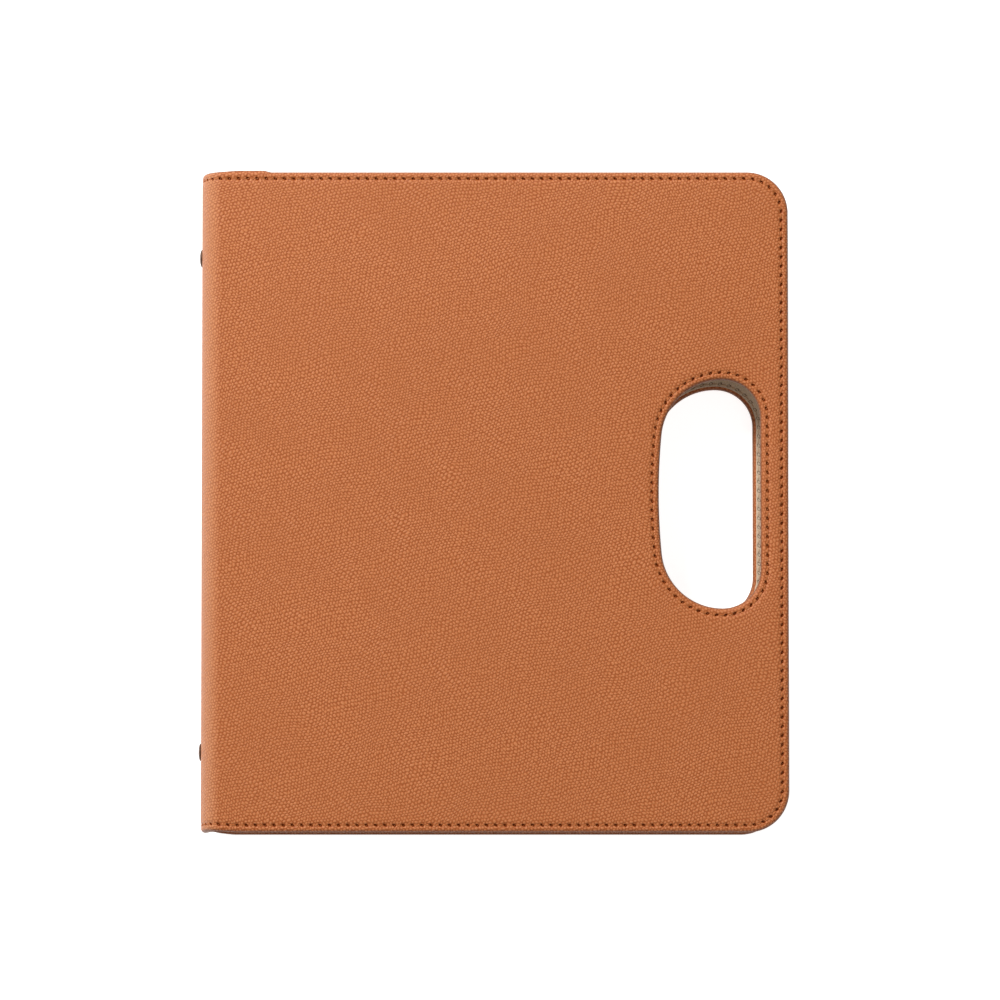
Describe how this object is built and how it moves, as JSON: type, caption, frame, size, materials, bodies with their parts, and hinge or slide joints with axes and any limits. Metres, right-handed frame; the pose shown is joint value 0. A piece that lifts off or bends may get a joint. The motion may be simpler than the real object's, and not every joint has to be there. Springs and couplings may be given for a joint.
{
  "type": "ring binder portfolio",
  "caption": "Closed leather-look ring-binder portfolio with a rounded spine, stitched padded covers and a carry-handle hole through both covers.",
  "frame": {"origin": "under the middle of the bounding box, on the surface that the back cover rests on", "axes": "+X from the spine to the handle side, +Y up the page along the spine, +Z from the back cover to the front cover"},
  "size_m": [0.2872, 0.323, 0.036],
  "materials": {
    "tan_leather": "pebble-grain, satin",
    "suede_lining": "short-nap suede, matt",
    "foam": "matt",
    "greyboard": "matt",
    "nickel_steel": "nickel-plated",
    "dark_rivet": "dark bronze, satin"
  },
  "bodies": {
    "back_cover": {"back_cover_leather": "tan_leather", "back_cover_foam": "foam", "back_cover_board": "greyboard", "back_cover_lining": "suede_lining"},
    "spine": {"spine_leather": "tan_leather", "spine_foam": "foam", "spine_stiffener": "greyboard", "spine_lining": "suede_lining", "rivet_upper": "dark_rivet", "rivet_lower": "dark_rivet", "rivet_sleeve_upper": "nickel_steel", "rivet_sleeve_lower": "nickel_steel", "ring_plate": "nickel_steel", "lever_pin_upper": "nickel_steel", "lever_pin_lower": "nickel_steel"},
    "front_cover": {"front_cover_leather": "tan_leather", "front_cover_foam": "foam", "front_cover_board": "greyboard", "front_cover_lining": "suede_lining"},
    "rings_front": {"ring_blade_front": "nickel_steel", "ring_half_front_1": "nickel_steel", "ring_half_front_2": "nickel_steel", "ring_half_front_3": "nickel_steel", "ring_half_front_4": "nickel_steel"},
    "rings_back": {"ring_blade_back": "nickel_steel", "ring_half_back_1": "nickel_steel", "ring_half_back_2": "nickel_steel", "ring_half_back_3": "nickel_steel", "ring_half_back_4": "nickel_steel"},
    "lever_upper": {"lever_upper": "nickel_steel"},
    "lever_lower": {"lever_lower": "nickel_steel"}
  },
  "joints": [
    {"name": "spine_hinge", "type": "hinge", "parent": "back_cover", "child": "spine", "pos_m": [-0.13962, 0, 0.00278], "axis": [0, -1, 0], "range_deg": [0, 90]},
    {"name": "front_hinge", "type": "hinge", "parent": "spine", "child": "front_cover", "pos_m": [-0.13962, 0, 0.03322], "axis": [0, -1, 0], "range_deg": [0, 90]},
    {"name": "rings_open", "type": "hinge", "parent": "spine", "child": "rings_front", "pos_m": [-0.1355, 0, 0.0243], "axis": [0, -1, 0], "range_deg": [0, 18]},
    {"name": "rings_back_open", "type": "hinge", "parent": "spine", "child": "rings_back", "pos_m": [-0.1355, 0, 0.0117], "axis": [0, 1, 0], "range_deg": [0, 18]},
    {"name": "lever_upper_turn", "type": "hinge", "parent": "spine", "child": "lever_upper", "pos_m": [-0.135, 0.135, 0.018], "axis": [0, 0, 1], "range_deg": [0, 30]},
    {"name": "lever_lower_turn", "type": "hinge", "parent": "spine", "child": "lever_lower", "pos_m": [-0.135, -0.135, 0.018], "axis": [0, 0, -1], "range_deg": [0, 30]}
  ],
  "couplings": [
    {"joint": "rings_back_open", "follows": "rings_open", "ratio": 1},
    {"joint": "lever_upper_turn", "follows": "rings_open", "ratio": 1.6666},
    {"joint": "lever_lower_turn", "follows": "rings_open", "ratio": 1.6666}
  ]
}
